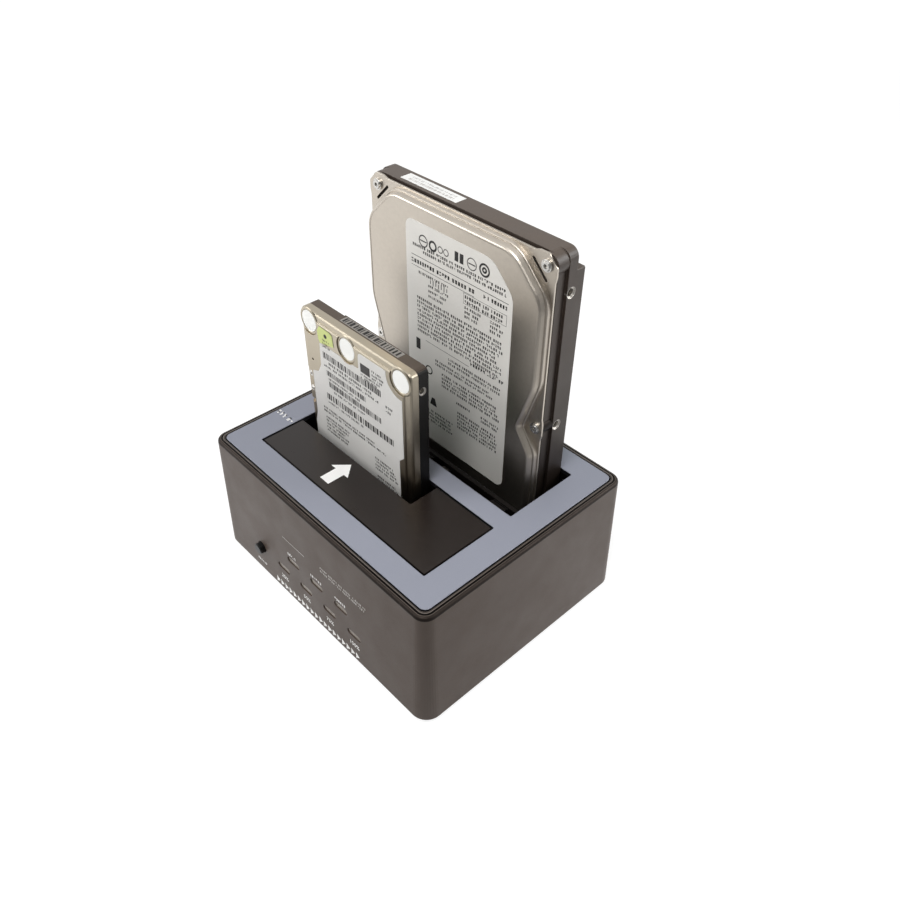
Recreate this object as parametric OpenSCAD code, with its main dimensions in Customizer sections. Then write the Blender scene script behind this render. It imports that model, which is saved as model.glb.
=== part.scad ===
// Two-bay drive duplicator: a desk dock that copies one bare disk drive to another.
// Origin: centre of the foot outline on the bench. X runs along the front, Y to the back, Z up.

/* [Housing] */
// Width of the housing at its foot
body_w = 145; // [138:0.5:170]
// Depth of the housing at its foot
body_d = 117; // [110:0.5:140]
// Height of the top panel above the bench
body_h = 63.6; // [60:0.2:75]
// How far each wall leans in by the top
draft = 2; // [0.5:0.1:3]
// Radius of the upright corners at the foot
corner_r = 7.5; // [6.5:0.1:11]
// Wall thickness of the housing
wall = 2.4; // [2:0.1:2.8]
// Radius of the edge between wall and top
edge_r = 1.5; // [0.8:0.1:1.6]
// Width of the dark land between the wall top and the panel
rim = 3.55; // [3.3:0.05:4.5]

/* [Drive bays] */
// Opening of each bay from side to side
bay_w = 108; // [105:0.5:112]
// Opening of each bay from front to back
bay_d = 37; // [34:0.5:38]
// Panel left between the two openings
web = 9.4; // [7:0.1:12]
// Height at which a drive stands
seat_z = 21.5; // [20.5:0.1:24]
// Width of the cut-out in a flap for a small drive
slot_w = 75.3; // [72:0.1:80]
// Depth of the cut-out in a flap for a small drive
slot_d = 15.3; // [13:0.1:17]

/* [Hinges] */
// Radius of the steel hinge pins
pin_r = 1; // [0.8:0.05:1.2]
// Angle through which a flap folds down
fold = 88; // [80:1:89]

/* [Front controls] */
// Spacing of the indicator windows
lens_pitch = 16.8; // [13:0.1:18]
// Length of an indicator window
lens_w = 8.8; // [6:0.1:10]
// Height of an indicator window
lens_h = 3.2; // [2.5:0.1:4]
// Radius of the start button
button_r = 2.7; // [2:0.1:4]

/* [Drives] */
// Overall thickness of the larger drive
large_t = 19.5; // [17:0.1:20]
// Overall thickness of the smaller drive
small_t = 9.5; // [7:0.1:9.5]

/* [Hidden] */
$fn = 48;

TAUPE = [0.41, 0.38, 0.36];
PANEL = [0.60, 0.61, 0.66];
DARK = [0.20, 0.18, 0.17];
BLACK = [0.06, 0.06, 0.07];
STEEL = [0.72, 0.72, 0.73];
COVER = [0.74, 0.72, 0.68];
GOLD = [0.80, 0.66, 0.30];
BOARD = [0.08, 0.30, 0.18];
WHITE = [0.92, 0.92, 0.90];

bite = 0.5;          // how far a cutting shape runs past the face that it cuts
fit = 0.3;           // gap between separate pieces of the housing
float_gap = 0.1;     // gap between a lens and its window

// ---- Heights of the housing's layers ----
foot_lift = 1.6;
foot_sink = 0.8;
foot_r = 5.5;
base_t = 2.4;
panel_t = 2.2;
flange_t = 2;
panel_proud = 0.3;
shell_top = body_h - panel_proud;
panel_z = body_h - panel_t;
ledge_z = panel_z - flange_t;
base_top = foot_lift + base_t;
board_z = 9;
board_t = 1.6;
board_top = board_z + board_t;

// ---- Outlines of the housing's top ----
top_w = body_w - 2 * draft;
top_d = body_d - 2 * draft;
mouth = edge_r + 0.25;       // the top opening lies this far inside the wall top
ring_gap = 0.15;
ring_wall = 1.3;
panel_gap = rim - mouth - ring_gap - ring_wall;
mouth_r = 4;
ring_r = 3.9;
panel_r = 3;
flange_w = top_w - 2 * rim - 0.2;
flange_d = top_d - 2 * rim - 0.2;

// ---- Bays ----
front_bay = -web / 2 - bay_d;
rear_bay = web / 2;
well_wall = 1.8;
seat_t = 2;
back_gap = 1;                // between a standing drive and the back of its bay
side_gap = 1.2;              // between a standing drive and the left of its bay

// ---- Screw posts ----
post_x = top_w / 2 - 7.3;
post_y = top_d / 2 - 7.3;
post_r = 3.4;
screw_r = 1.2;
pilot_r = 1.25;

// ---- Flaps ----
flap_t = 2;
flap_edge = 0.45;            // gap all round a closed flap
flap_drop = 0.3;             // a closed flap lies this far below the panel
flap_top = body_h - flap_drop;
knuckle_r = pin_r + 0.95;
knuckle_gap = 2.4;           // from the hinge axis up to the flap's underside
hinge_y = 2.5;               // hinge axis behind the front edge of the opening
hinge_z = flap_top - flap_t - knuckle_gap;
hinge_clear = 0.06;          // running fit of a flap on its pin
knuckle_w = 8;
knuckles = [-44, 0, 44];

// ---- Front controls ----
lens_low_z = 17;
lens_high_z = 26.8;
lens_low_x = -22.6;
lens_high_x = lens_low_x + lens_pitch / 2 + 0.1;
lens_sink = 1.2;             // a lens face lies this far inside its window
button_x = -40;
button_z = 17.2;
reach = 2;                   // the button and the rocker stand this far past the foot outline
press = 0.8;                 // travel of the button
led_board_y = -body_d / 2 + wall + 3.8;

// ---- Rear connectors ----
jack_x = -40;
jack_z = board_top + 6.4;
usb_x = 4;
rocker_x = 42;
rocker_z = 31;
rocker_tilt = 8;
rocker_half = 5.6;
rocker_lip = 2.4;
rear_inner = body_d / 2 - wall - 0.8;   // parts on the board end here, in front of the rear wall
rear_well = rear_bay + bay_d + well_wall;

// ---- Drives, in a frame with a across, b up and c from the board side to the cover ----
large_w = 101.6;
large_l = 147;
large_rail = 4.2;            // depth of the side rails behind the casting
large_skirt = 15.2;          // depth of the cover's flange
small_w = 69.85;
small_l = 100.2;
small_split = 5;             // depth at which casting and cover meet
drive_x = -bay_w / 2 + side_gap;
plug_a = 30.12;              // centre of the plug from the left edge of either drive
plug_c = 3.7;                // centre of the plug from the board side of either drive
plug_half = 21.3;
notch_half = 21.9;
notch_b = 9;
notch_c = 7.4;
nose_half = 20.3;
nose_t = 5;
nose_b = 4.6;                // how far a socket reaches into a drive
tongue_t = 1.2;
slit = 1.8;
// Left end and right end of the power and data tongues, from the plug's centre
tongues = [[-19.6, 1.4], [4, 15.2]];

// ================= Shared geometry =================

function unit(v) = v / norm(v);
function left(v) = [-v[1], v[0]];
function turned(v, angle) = [v[0] * cos(angle) - v[1] * sin(angle), v[0] * sin(angle) + v[1] * cos(angle)];
function bend(u, v) = atan2(u[0] * v[1] - u[1] * v[0], u * v);

// Points of one rounded corner of an outline that is moved inwards
function fillet(before, corner, after, radius, inset, steps) =
    let(from = left(unit(corner - before)), to = left(unit(after - corner)),
        turn = bend(from, to), side = sign(turn),
        r = max(radius - side * inset, 0.05),
        centre = corner + (from + to) / (1 + from * to) * (inset + side * r))
    [for (k = [0:steps]) centre - side * r * turned(from, turn * k / steps)];

// Points of a closed outline, counter-clockwise, with a radius at each corner
function outline(corners, radii, inset = 0, steps = 6) =
    let(n = len(corners))
    [for (i = [0:n - 1])
        each fillet(corners[(i + n - 1) % n], corners[i], corners[(i + 1) % n], radii[i], inset, steps)];

function rect(w, d) = [[-w / 2, -d / 2], [w / 2, -d / 2], [w / 2, d / 2], [-w / 2, d / 2]];
function same(r, n = 4) = [for (i = [1:n]) r];

// Middle of an outline's corners
function middle(corners) = [for (corner = corners) 1] * corners / len(corners);

// Solid through levels of one outline; each level is [inset, height].
// Its two ends are fans about a hub, a point that sees the whole outline.
module loft(corners, radii, levels, steps = 6, hub = undef) {
    centre = is_undef(hub) ? middle(corners) : hub;
    rings = [for (level = levels)
        [for (p = outline(corners, radii, level[0], steps)) [p[0], p[1], level[1]]]];
    n = len(rings[0]);
    top = len(rings) - 1;
    last = n * len(rings);
    polyhedron(
        points = concat(
            [for (ring = rings) each ring],
            [[centre[0], centre[1], levels[0][1]], [centre[0], centre[1], levels[top][1]]]),
        faces = [
            for (i = [0:n - 1]) [i, (i + 1) % n, last],
            for (i = [0:n - 1]) [top * n + (i + 1) % n, top * n + i, last + 1],
            for (k = [0:top - 1], i = [0:n - 1])
                [k * n + i, (k + 1) * n + i, (k + 1) * n + (i + 1) % n, k * n + (i + 1) % n]
        ]);
}

// Upright prism on a rounded outline
module prism(corners, radii, low, high, steps = 6)
    translate([0, 0, low]) linear_extrude(high - low) polygon(outline(corners, radii, 0, steps));

module slab(w, d, r, low, high) prism(rect(w, d), same(r), low, high);

module box(low, high) translate(low) cube(high - low);

// Bar with round ends along X, standing out along Y
module bar(w, h, y0, y1) {
    for (side = [-1, 1])
        translate([side * (w - h) / 2, y0, 0]) rotate([-90, 0, 0]) cylinder(r = h / 2, h = y1 - y0);
    translate([-(w - h) / 2, y0, -h / 2]) cube([w - h, y1 - y0, h]);
}

// Pan-head screw with its head up and the seat of the head at the origin
module screw(head_r, head_h, shank_r, length) {
    difference() {
        cylinder(r = head_r, h = head_h);
        for (turn = [0, 90])
            rotate(turn) translate([-head_r * 0.6, -0.3, head_h * 0.4]) cube([head_r * 1.2, 0.6, head_h]);
    }
    translate([0, 0, -length]) cylinder(r = shank_r, h = length);
}

// Round-head screw with a six-sided socket
module socket_screw(head_r, head_h, shank_r, length) {
    difference() {
        union() {
            cylinder(r = head_r, h = head_h * 0.55);
            cylinder(r1 = head_r * 0.92, r2 = head_r * 0.7, h = head_h);
        }
        translate([0, 0, head_h * 0.3]) cylinder(r = head_r * 0.38, h = head_h, $fn = 6);
    }
    translate([0, 0, -length]) cylinder(r = shank_r, h = length);
}

// Round wire along a path that lies square to X for most of its length
module wire(path, radius, sides = 6) {
    count = len(path);
    tangents = [for (i = [0:count - 1])
        unit(path[min(i + 1, count - 1)] - path[max(i - 1, 0)])];
    rings = [for (i = [0:count - 1])
        let(u = unit(cross(tangents[i], [1, 0, 0])), v = cross(u, tangents[i]))
        for (k = [0:sides - 1]) path[i] + radius * (u * cos(360 * k / sides) + v * sin(360 * k / sides))];
    polyhedron(
        points = rings,
        faces = [
            [for (k = [0:sides - 1]) k],
            [for (k = [sides - 1:-1:0]) (count - 1) * sides + k],
            for (i = [0:count - 2], k = [0:sides - 1])
                [i * sides + k, (i + 1) * sides + k,
                 (i + 1) * sides + (k + 1) % sides, i * sides + (k + 1) % sides]
        ]);
}

// ================= Housing =================

foot_outline = rect(body_w, body_d);
foot_radii = same(corner_r);

// How far the wall has leaned in at a height, and where its outer face then lies
function lean(z) = draft * (z - foot_lift) / (shell_top - edge_r - foot_lift);
function wall_y(z) = body_d / 2 - lean(z);
lean_angle = atan(draft / (shell_top - edge_r - foot_lift));

shell_levels = concat(
    [[0.5, foot_lift], [0, foot_lift + 0.5]],
    [for (turn = [0:15:90]) [draft + edge_r * (1 - cos(turn)), shell_top - edge_r + edge_r * sin(turn)]]);
cavity_levels = [[wall, foot_lift - bite], [wall + draft, ledge_z + 0.01]];

module at_posts() for (x = [-post_x, post_x], y = [-post_y, post_y]) translate([x, y, 0]) children();

module at_lenses()
    for (place = lens_places) translate([place[0], 0, place[1]]) children();

lens_places = concat(
    [for (i = [0:2]) [lens_high_x + i * lens_pitch, lens_high_z]],
    [for (i = [0:3]) [lens_low_x + i * lens_pitch, lens_low_z]]);

// Places the rocker switch square to the leaning rear wall
module on_rear_wall()
    translate([rocker_x, wall_y(rocker_z), rocker_z]) rotate([lean_angle, 0, 0]) children();

// Post in each corner, tied to the walls by two ribs
module corner_posts() intersection() {
    loft(foot_outline, foot_radii, [[wall / 2, base_top], [wall / 2 + draft, ledge_z]]);
    for (x = [-1, 1], y = [-1, 1]) {
        translate([x * post_x, y * post_y, base_top]) cylinder(r = post_r, h = ledge_z - base_top);
        box([min(x * post_x, x * body_w / 2), y * post_y - 0.8, base_top + 8],
            [max(x * post_x, x * body_w / 2), y * post_y + 0.8, ledge_z - 1]);
        box([x * post_x - 0.8, min(y * post_y, y * body_d / 2), base_top + 8],
            [x * post_x + 0.8, max(y * post_y, y * body_d / 2), ledge_z - 1]);
    }
}

module outer_shell() color(TAUPE) difference() {
    union() {
        difference() {
            loft(foot_outline, foot_radii, shell_levels, 10);
            loft(foot_outline, foot_radii, cavity_levels, 10);
        }
        corner_posts();
    }
    slab(top_w - 2 * mouth, top_d - 2 * mouth, mouth_r, ledge_z, body_h + bite);
    at_posts() {
        translate([0, 0, base_top - bite]) cylinder(r = pilot_r, h = 10 + bite);
        translate([0, 0, ledge_z - 10]) cylinder(r = pilot_r, h = 10 + bite);
    }
    at_lenses() bar(lens_w, lens_h, -body_d / 2 - bite, -body_d / 2 + 5);
    translate([button_x, -body_d / 2 - bite, button_z]) rotate([-90, 0, 0]) cylinder(r = button_r + fit, h = 6);
    translate([jack_x, rear_inner - 0.5, jack_z]) rotate([-90, 0, 0]) cylinder(r = 4.5, h = 6);
    box([usb_x - 6.3, rear_inner - 0.5, board_top - 0.3], [usb_x + 6.3, body_d / 2 + bite, board_top + 11.2]);
    on_rear_wall() box([-4.9, -wall - bite, -7], [4.9, bite, 7]);
}

// Bead between the wall top and the panel
module trim_ring() color(DARK) difference() {
    loft(rect(top_w - 2 * (mouth + ring_gap), top_d - 2 * (mouth + ring_gap)), same(ring_r),
        [[0, ledge_z], [0, shell_top - 0.15], [0.1, shell_top], [0.35, shell_top + 0.1]]);
    loft(rect(top_w - 2 * (mouth + ring_gap + ring_wall), top_d - 2 * (mouth + ring_gap + ring_wall)),
        same(panel_r), [[0, ledge_z - bite], [0, shell_top - 0.1], [-0.35, shell_top + 0.25]]);
}

module top_panel() color(PANEL) difference() {
    loft(rect(top_w - 2 * rim, top_d - 2 * rim), same(panel_r),
        [[0, panel_z], [0, body_h - 0.25], [0.08, body_h - 0.08], [0.25, body_h]]);
    for (y = [front_bay, rear_bay])
        translate([0, y + bay_d / 2, 0]) loft(rect(bay_w, bay_d), same(0.6),
            [[0, panel_z - bite], [0, body_h - 0.2], [-0.2 - bite, body_h + bite]], 4);
    at_posts() translate([0, 0, panel_z - bite]) cylinder(r = 2.8, h = 1.5 + bite);
}

module base_plate() color(TAUPE) difference() {
    union() {
        slab(body_w - 2 * (wall + fit), body_d - 2 * (wall + fit), corner_r - wall, foot_lift, base_top);
        for (place = standoffs)
            translate([place[0], place[1], base_top]) cylinder(r = 3, h = board_z - base_top);
    }
    for (place = standoffs)
        translate([place[0], place[1], base_top]) cylinder(r = pilot_r, h = board_z - base_top + bite);
    for (x = [-1, 1], y = [-1, 1])
        translate([x * foot_x, y * foot_y, foot_lift - bite]) cylinder(r = foot_r, h = foot_sink + bite);
    at_posts() {
        translate([0, 0, foot_lift - bite]) cylinder(r = 1.6, h = base_t + 2 * bite);
        translate([0, 0, foot_lift - bite]) cylinder(r = 3, h = 1.2 + bite);
    }
    for (x = [-30:6:30], y = [-1, 1])
        translate([x, y * 20, foot_lift - bite]) {
            for (end = [-10, 10]) translate([0, end, 0]) cylinder(r = 1.1, h = base_t + 2 * bite);
            box([-1.1, -10, 0], [1.1, 10, base_t + 2 * bite]);
        }
}

standoffs = [for (x = [-50, 50], y = [-38, 34]) [x, y]];
foot_x = body_w / 2 - 13;
foot_y = body_d / 2 - 21;

module foot(x, y) color(BLACK) translate([x * foot_x, y * foot_y, 0]) {
    cylinder(r1 = foot_r - 0.5, r2 = foot_r, h = 0.5);
    translate([0, 0, 0.5]) cylinder(r = foot_r, h = foot_lift + foot_sink - 0.5);
}

module base_screws() color(STEEL)
    at_posts() translate([0, 0, foot_lift + 1.2]) rotate([180, 0, 0]) screw(2.6, 1.1, screw_r, 8);

module frame_screws() color(STEEL)
    at_posts() translate([0, 0, panel_z]) screw(2.5, 1.3, screw_r, 9);

module board_screws() color(STEEL)
    for (place = standoffs) translate([place[0], place[1], board_top]) screw(2.4, 1.2, screw_r, 5.5);

// ================= Bays and flaps =================

// Moulding with both wells, hung from a flange under the panel
module bay_frame() color(BLACK) difference() {
    union() {
        slab(flange_w, flange_d, panel_r - 0.1, ledge_z, panel_z);
        for (y = [front_bay, rear_bay])
            box([-bay_w / 2 - well_wall, y - well_wall, seat_z - seat_t],
                [bay_w / 2 + well_wall, y + bay_d + well_wall, panel_z - 0.5]);
    }
    for (y = [front_bay, rear_bay]) {
        difference() {
            box([-bay_w / 2, y, seat_z], [bay_w / 2, y + bay_d, panel_z + bite]);
            bay_ribs(y);
        }
        box([drive_x + plug_a - 22.2, y + bay_d - back_gap - 8.2, seat_z - seat_t - bite],
            [drive_x + plug_a + 22.2, y + bay_d - back_gap - 0.2, seat_z + bite]);
        translate([-bay_w / 2 - well_wall - bite, y + hinge_y, hinge_z])
            rotate([0, 90, 0]) cylinder(r = pin_r, h = bay_w + 2 * (well_wall + bite));
    }
    at_posts() translate([0, 0, ledge_z - bite]) cylinder(r = 1.5, h = flange_t + 2 * bite);
}

// Radius that the far edge of a closed flap sweeps about its hinge
swing_r = norm([bay_d - flap_edge - hinge_y, knuckle_gap + flap_t]);
rib_t = 1.2;
flap_clear = 1;

// Height of a guide rib that stays outside the swing of the flap
function rib_top(back) =
    hinge_z - sqrt(pow(swing_r, 2) - pow(bay_d - back - rib_t - hinge_y, 2)) - flap_clear;

// Guide ribs beside a large drive, and the stops under the front edge of a closed flap
module bay_ribs(y) {
    for (back = [4, 14])
        box([drive_x + large_w + 0.5, y + bay_d - back - rib_t, seat_z - bite],
            [bay_w / 2 + bite, y + bay_d - back, rib_top(back)]);
    for (x = [-28, 28])
        box([x - 6, y - bite, hinge_z - 4], [x + 6, y + 1.3, hinge_z + knuckle_gap - 0.15]);
}

flap_w = bay_w - 2 * flap_edge;
flap_d = bay_d - 2 * flap_edge;
flap_outline = [
    [-flap_w / 2, flap_edge],
    [flap_w / 2, flap_edge],
    [flap_w / 2, flap_edge + flap_d],
    [-bay_w / 2 + slot_w, flap_edge + flap_d],
    [-bay_w / 2 + slot_w, bay_d - slot_d],
    [-flap_w / 2, bay_d - slot_d]];

// Flap in its closed place, with the front edge of the opening at y = 0
module flap() color(DARK) difference() {
    union() {
        loft(flap_outline, same(0.8, 6),
            [[0, flap_top - flap_t], [0, flap_top - 0.25], [0.25, flap_top]], 4,
            [bay_w / 2 - 15, hinge_y + 7]);
        for (x = knuckles) {
            translate([x - knuckle_w / 2, hinge_y, hinge_z])
                rotate([0, 90, 0]) cylinder(r = knuckle_r, h = knuckle_w);
            box([x - knuckle_w / 2, hinge_y - 1.2, hinge_z],
                [x + knuckle_w / 2, hinge_y + 1.95, flap_top - flap_t / 2]);
        }
        box([-bay_w / 2 + slot_w + 0.4, bay_d - slot_d - 2, flap_top - flap_t - 1.2],
            [-bay_w / 2 + slot_w + 1.6, bay_d - 2, flap_top - flap_t / 2]);
        box([-flap_w / 2 + 2, bay_d - slot_d - 2, flap_top - flap_t - 1.2],
            [-bay_w / 2 + slot_w + 1.6, bay_d - slot_d - 0.8, flap_top - flap_t / 2]);
    }
    for (x = knuckles)
        translate([x - knuckle_w, hinge_y, hinge_z]) rotate([0, 90, 0])
            cylinder(r = pin_r + hinge_clear, h = 2 * knuckle_w);
}

module front_flap() translate([0, front_bay, 0]) flap();

module rear_flap()
    translate([0, rear_bay + hinge_y, hinge_z]) rotate([-fold, 0, 0]) translate([0, -hinge_y, -hinge_z]) flap();

module flap_pin(y) color(STEEL)
    translate([-bay_w / 2 - well_wall, y + hinge_y, hinge_z]) rotate([0, 90, 0])
        cylinder(r = pin_r, h = bay_w + 2 * well_wall);

spring_x = 11;               // left end of a spring, between a knuckle and a stop
coil_wire = 0.25;
coil_r = pin_r + 0.35 + coil_wire;
coil_turns = 6;
coil_pitch = 0.62;
coil_steps = 16;

// Torsion spring on a hinge pin: a coil with one leg down the well's wall and one along the flap
module flap_spring(y, flap_angle) color(STEEL) {
    sweep_angle = 360 * coil_turns + 90 - flap_angle;
    steps = coil_steps * coil_turns;
    coil = [for (i = [0:steps])
        let(angle = 180 - sweep_angle * i / steps)
        [spring_x + coil_pitch * coil_turns * i / steps, coil_r * cos(angle), coil_r * sin(angle)]];
    last = 180 - sweep_angle;
    path = concat(
        [coil[0] + [0, 0, -6], coil[0] + [0, 0, -3]],
        coil,
        [for (s = [2.5, 5]) coil[steps] + s * [0, sin(last), -cos(last)]]);
    translate([0, y + hinge_y, hinge_z]) wire(path, coil_wire);
}

// ================= Electronics =================

module main_board() color(BOARD) difference() {
    box([-57, -52.5, board_z], [57, rear_inner - 0.2, board_top]);
    for (place = standoffs)
        translate([place[0], place[1], board_z - bite]) cylinder(r = 1.5, h = board_t + 2 * bite);
}

module bridge_chip() color(BLACK) for (place = [[22, -24], [22, 22]])
    box([place[0], place[1], board_top], [place[0] + 12, place[1] + 12, board_top + 1.4]);

module capacitors() color(STEEL) for (place = [[-51, -5, 2.5], [-29, 2, 2.5], [-21, -3, 2.5], [15, -4, 3.5]])
    translate([place[0], rear_inner + place[1] - 5, board_top]) cylinder(r = place[2], h = 7);

// Upright socket behind a bay's floor; its nose reaches into a standing drive
module drive_socket(y) color(BLACK) translate([drive_x + plug_a, y + bay_d - back_gap - plug_c, 0]) {
    box([-21.5, -3.7, board_top], [21.5, 3.7, seat_z - seat_t - 0.2]);
    difference() {
        box([-nose_half, -nose_t / 2, seat_z - seat_t - 0.2], [nose_half, nose_t / 2, seat_z + nose_b]);
        for (ends = tongues)
            box([ends[0] - 0.3, -slit / 2, seat_z], [ends[1] + 0.3, slit / 2, seat_z + nose_b + bite]);
    }
}

module indicator_board() color(BOARD)
    box([button_x - 6, led_board_y, board_top],
        [lens_low_x + 3 * lens_pitch + 10, led_board_y + board_t, lens_high_z + 3.8]);

module indicator_leds() color(WHITE)
    at_lenses() box([-1.6, led_board_y - 0.8, -1], [1.6, led_board_y, 1]);

// Light bar of one window, with a flange behind the wall
module indicator_lens(place) color(TAUPE) translate([place[0], 0, place[1]]) {
    face = -wall_y(place[1]) + lens_sink;
    inner = -wall_y(place[1]) + wall + 0.2;
    bar(lens_w - 2 * float_gap, lens_h - 2 * float_gap, face, inner);
    bar(lens_w + 1.6, lens_h + 1.6, inner, inner + 0.8);
    box([-1.5, inner + 0.8, -0.9], [1.5, led_board_y - 1, 0.9]);
}

module start_button() color(BLACK) translate([button_x, 0, button_z]) rotate([-90, 0, 0]) {
    inner = -wall_y(button_z) + wall;
    translate([0, 0, -body_d / 2 - reach]) {
        cylinder(r1 = button_r - 0.4, r2 = button_r, h = 0.4);
        translate([0, 0, 0.4]) cylinder(r = button_r, h = body_d / 2 + reach + inner + 0.6);
    }
    translate([0, 0, inner + 0.3]) cylinder(r = button_r + 1, h = 0.7);
}

// The switch: its body on the board, and the plunger that the button pushes
module switch_plunger() color(STEEL) translate([button_x, -wall_y(button_z) + wall + 1, button_z])
    rotate([-90, 0, 0]) cylinder(r = 1.2, h = led_board_y - 0.6 - (-wall_y(button_z) + wall + 1) - press);

module button_switch() color(BLACK) translate([button_x, led_board_y, button_z]) difference() {
    box([-3, -1.2, -3], [3, 0, 3]);
    translate([0, -1.2 - bite, 0]) rotate([-90, 0, 0]) cylinder(r = 1.4, h = 1.1 + bite);
}

// The pivot lies so that the raised end of the rocker stands as far out as the button
rocker_lift = rocker_half * sin(rocker_tilt + lean_angle) + rocker_lip * cos(rocker_tilt + lean_angle);
rocker_pivot = (body_d / 2 + reach - rocker_lift - wall_y(rocker_z)) / cos(lean_angle);

module rocker_housing() color(BLACK) on_rear_wall() difference() {
    union() {
        box([-4.7, rear_well - wall_y(rocker_z) + 1, -6.8], [4.7, 0.5, 6.8]);
        box([-5.8, 0.02, -7.9], [5.8, 1, 7.9]);
    }
    box([-4.1, rocker_pivot - 4, -6.3], [4.1, 1 + bite, 6.3]);
    translate([-4.5, rocker_pivot, 0]) rotate([0, 90, 0]) cylinder(r = 0.88, h = 9);
}

module power_rocker() color(BLACK)
    on_rear_wall() translate([0, rocker_pivot, 0]) rotate([rocker_tilt, 0, 0]) {
        translate([3.8, 0, 0]) rotate([0, -90, 0]) linear_extrude(7.6) polygon([
            [-rocker_half, rocker_lip], [0, rocker_lip - 1.3], [rocker_half, rocker_lip],
            [rocker_half - 0.4, -1.6], [0.4 - rocker_half, -1.6]]);
        translate([-4.4, 0, 0]) rotate([0, 90, 0]) cylinder(r = 0.82, h = 8.8);
    }

// Barrel jack on the board's rear edge
module power_jack() color(BLACK) {
    difference() {
        union() {
            box([jack_x - 4.5, rear_well + 0.6, board_top], [jack_x + 4.5, rear_inner - 0.6, board_top + 11]);
            translate([jack_x, rear_inner - 1, jack_z]) rotate([-90, 0, 0]) cylinder(r = 4.1, h = 3);
        }
        translate([jack_x, rear_well + 2, jack_z]) rotate([-90, 0, 0]) cylinder(r = 2.8, h = 20);
    }
    translate([jack_x, rear_well + 1.5, jack_z]) rotate([-90, 0, 0]) cylinder(r = 1, h = 10.5);
}

module usb_port() color(STEEL) difference() {
    box([usb_x - 6, rear_well + 0.6, board_top], [usb_x + 6, body_d / 2 - 1, board_top + 10.9]);
    box([usb_x - 5.4, rear_well + 1.4, board_top + 0.6], [usb_x + 5.4, body_d / 2, board_top + 10.3]);
}

module usb_tongue() color(BLACK)
    box([usb_x - 2.8, rear_well + 1.4, board_top + 3.6], [usb_x + 2.8, body_d / 2 - 2, board_top + 7]);

// ================= Drives =================

// Stands a drive with its board side towards the back of a bay
module standing(y) translate([drive_x, y + bay_d - back_gap, seat_z]) rotate([90, 0, 0]) children();

module plug_notch() box([plug_a - notch_half, -bite, -bite], [plug_a + notch_half, notch_b, notch_c]);

// Plug of a drive: a block at the back of the notch with two upright tongues
module drive_plug(back) {
    box([plug_a - plug_half, notch_b - 3.2, back], [plug_a + plug_half, notch_b, notch_c - 0.2]);
    for (ends = tongues)
        box([plug_a + ends[0], 0.6, plug_c - tongue_t / 2],
            [plug_a + ends[1], notch_b - 3, plug_c + tongue_t / 2]);
    for (side = [-1, 1])
        box([plug_a + side * (plug_half + 0.1) - 0.5, 0.2, back],
            [plug_a + side * (plug_half + 0.1) + 0.5, notch_b - 3, notch_c - 0.2]);
}

board_c = 1.2;               // depth at which the drive's own board starts
large_sides = [28.5, 70.1, 130.1];
large_bottoms = [41.28, 85.73];
large_screws = [[5.4, 142.3], [97, 142.3], [98.2, 71.3], [3.4, 71.3], [6, 18], [95.6, 18]];
large_bosses = [4.5, 4.5, 3.3, 3.3, 3, 3];   // radius of the casting round each of those screws
large_step = 8.7;            // depth at which the casting's sides step in
large_groove = 13.3;         // depth of the shadow gap under the cover's flange
large_inset = 1.2;           // the stepped-in sides lie this far inside the full width
large_core = 3.5;            // and the core behind the shadow gap this far

// Casting of the larger drive between two depths, narrowed at each side by an inset
module large_body(inset, from, to)
    prism([[inset, 0], [large_w - inset, 0], [large_w - inset, large_l], [inset, large_l]],
        [1, 1, 4, 4], from, to);

module large_casting() color(DARK) standing(rear_bay) difference() {
    union() {
        large_body(0, large_rail, large_step);
        large_body(large_inset, large_step - bite, large_groove);
        prism(
            [[large_core, large_core], [large_w - large_core, large_core],
             [large_w - large_core, large_l - large_core], [large_core, large_l - large_core]],
            same(3), large_groove - bite, large_skirt - cover_t);
        for (i = [0:len(large_screws) - 1])
            translate([large_screws[i][0], large_screws[i][1], large_step - bite])
                cylinder(r = large_bosses[i], h = large_skirt - cover_t - large_step + bite);
        for (a = [0, large_w - 6])
            prism([[a, 0], [a + 6, 0], [a + 6, 138.5], [a, 138.5]], same(0.6), 0, large_rail);
        for (place = large_board_places)
            translate([place[0], place[1], board_c + 1]) cylinder(r = 2.6, h = large_rail - board_c);
    }
    for (place = large_board_places)
        translate([place[0], place[1], board_c]) cylinder(r = pilot_r, h = 6);
    plug_notch();
    for (b = large_sides, side = [0, 1])
        translate([side * large_w, b, 6.35]) rotate([0, side == 0 ? 90 : -90, 0]) {
            translate([0, 0, -bite]) cylinder(r = 1.6, h = 4.5 + bite);
            translate([0, 0, -bite]) cylinder(r = 2.2, h = 0.5 + bite);
        }
    for (b = large_bottoms, a = [3.18, large_w - 3.18])
        translate([a, b, -bite]) cylinder(r = 1.5, h = 4 + bite);
    for (place = large_screws)
        translate([place[0], place[1], large_skirt - 5]) cylinder(r = pilot_r, h = 6);
    large_slits();
}

// The right half of a list of corners with its mirror image, and a list of radii read there and back
function both_halves(half) =
    concat(half, [for (i = [len(half) - 1:-1:0]) [large_w - half[i][0], half[i][1]]]);
function there_and_back(half) = concat(half, [for (i = [len(half) - 1:-1:0]) half[i]]);

// Flange of the pressed cover, with a lobe round each screw and its upper corners cut off
flange_half = [
    [101, 10], [101, 66], [101.5, 68.5], [101.5, 74.1], [101, 76.6], [101, 136.5],
    [101.5, 139], [101.5, 142.6], [97.4, 146.9], [93, 146.9], [90.6, 146.2]];
flange_half_r = [3, 2, 2, 2, 2, 2, 2, 1.2, 1.2, 2, 2];
cover_t = 0.8;

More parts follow.
